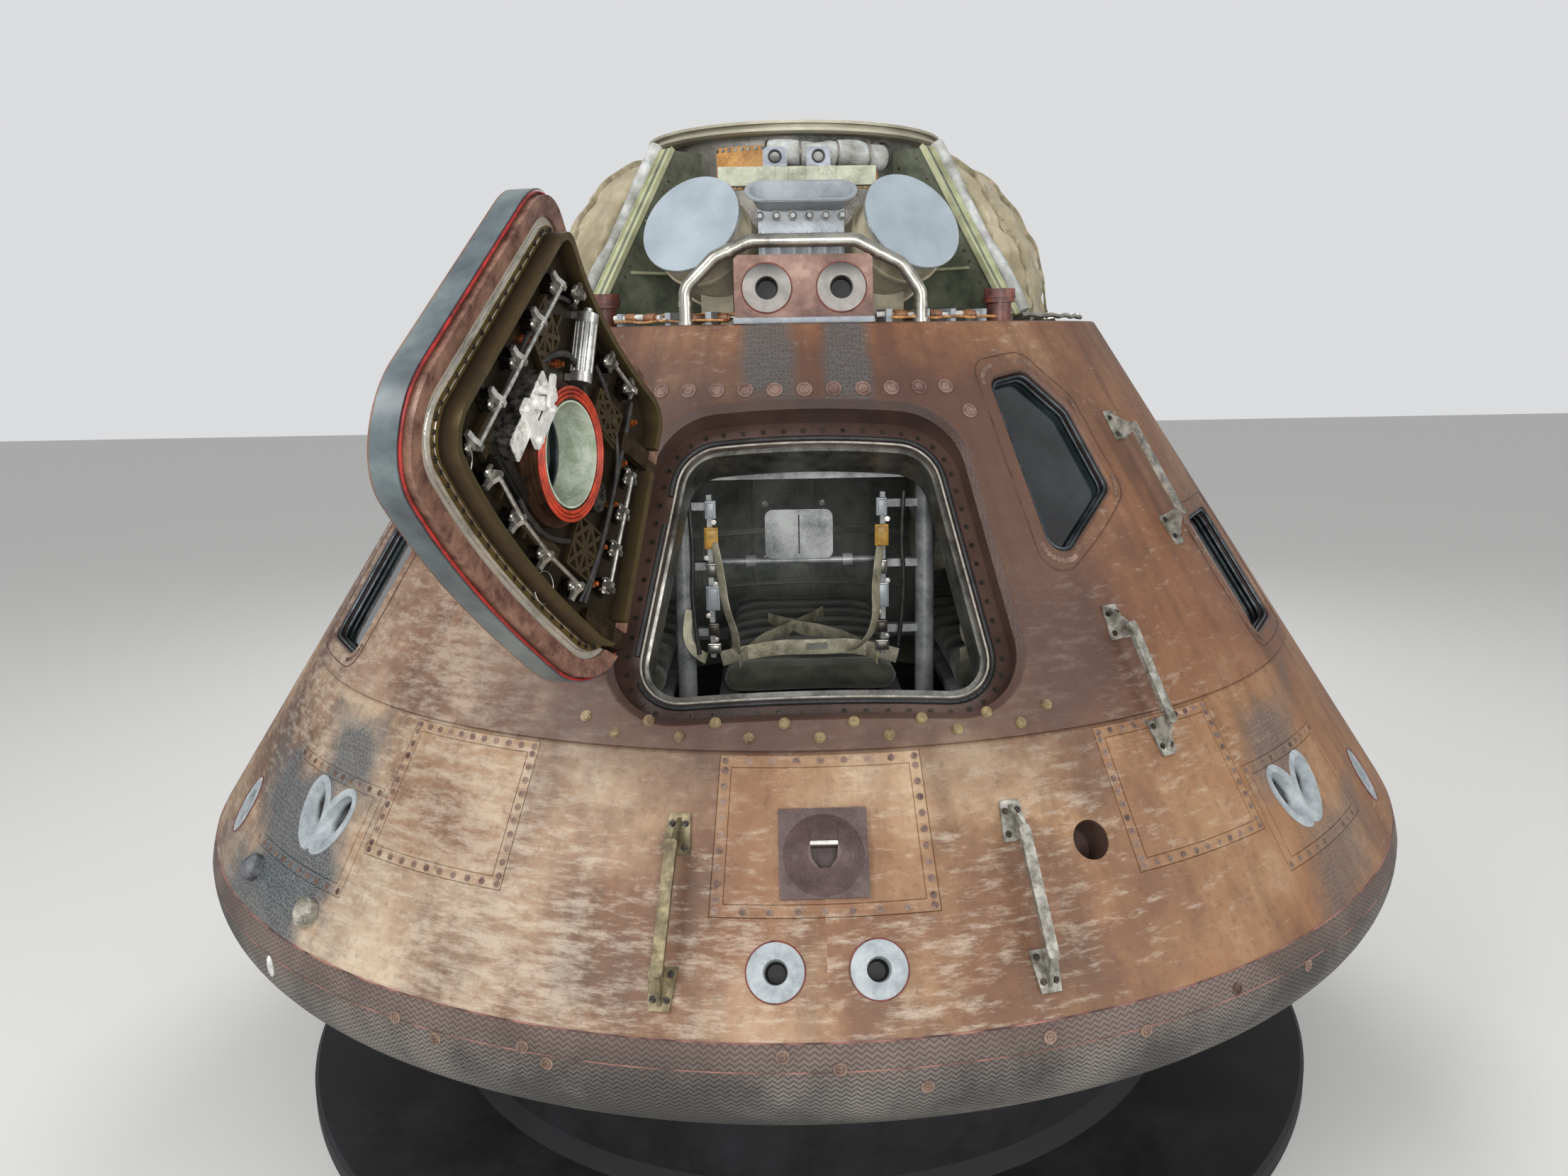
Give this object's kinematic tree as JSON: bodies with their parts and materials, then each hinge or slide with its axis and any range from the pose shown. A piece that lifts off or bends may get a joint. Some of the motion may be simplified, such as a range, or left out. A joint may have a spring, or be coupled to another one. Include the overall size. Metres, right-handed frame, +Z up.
{
  "type": "crewed re-entry capsule",
  "caption": "Blunt-cone crew capsule after re-entry with its side hatch open, forward cover off and charred heat shield, standing on a round black display plinth.",
  "frame": {"origin": "middle of the plinth's foot, on the floor", "axes": "+Z up along the cone's axis, -Y towards the side hatch, +X to the right seen from the hatch side"},
  "size_m": [3.912, 4.157, 3.03],
  "materials": {
    "charred_ablator": "charred and scratched resin ablator",
    "inner_metal": "bare and anodised aluminium alloy",
    "grey_paint": "satin pale grey paint",
    "green_primer": "yellow-green primer on alloy",
    "steel": "satin steel",
    "nozzle_liner": "fired, pale grey",
    "stone_dome": "weathered radome",
    "window_glass": "clear, dark behind",
    "seal_rubber": "dark red silicone",
    "quilted_cloth": "quilted beige insulation",
    "duct_cloth": "grey-white wrapped insulation",
    "couch_cloth": "dark webbing and cloth",
    "console_paint": "satin grey panels",
    "stand_black": "matt black"
  },
  "bodies": {
    "craft": {"access_panels": "charred_ablator", "aft_heat_shield": "charred_ablator", "antenna_domes": "stone_dome", "cabin_floor": "inner_metal", "couch_frame": "inner_metal", "couch_pads": "couch_cloth", "cross_channel": "green_primer", "display_console": "console_paint", "forward_bulkhead": "inner_metal", "front_windows": "window_glass", "gussets": "green_primer", "handholds": "steel", "hatchway_frame": "inner_metal", "hinge_lugs": "steel", "lagged_duct": "duct_cloth", "lower_cone_shell": "charred_ablator", "mortar_cans": "grey_paint", "pitch_nozzles": "nozzle_liner", "plinth": "stand_black", "rear_lockers": "console_paint", "rear_pack": "quilted_cloth", "rim_cups": "charred_ablator", "riser_fitting": "grey_paint", "roll_nozzles": "nozzle_liner", "side_consoles": "console_paint", "side_pack_left": "quilted_cloth", "side_pack_right": "quilted_cloth", "side_windows": "window_glass", "sight_brackets": "grey_paint", "thruster_block": "charred_ablator", "top_ring": "inner_metal", "tube_rail": "steel", "tunnel": "inner_metal", "tunnel_hatch": "inner_metal", "upper_cone_shell": "charred_ablator", "upper_nozzle_rings": "nozzle_liner", "vent_scoop": "charred_ablator", "yaw_nozzles": "nozzle_liner"},
    "hatch": {"hatch_shield": "charred_ablator", "hatch_seal": "seal_rubber", "hatch_structure": "inner_metal", "hatch_port_ring": "inner_metal", "hatch_window": "window_glass", "hatch_latches": "steel", "hatch_gearbox": "steel", "hatch_gas_cylinder": "steel", "hinge_arms": "steel"}
  },
  "joints": [
    {"name": "hatch_hinge", "type": "hinge", "parent": "craft", "child": "hatch", "pos_m": [-0.48546, -1.29154, 1.90124], "axis": [0.1579, 0.5221, 0.8381], "range_deg": [0, 105.3]}
  ]
}
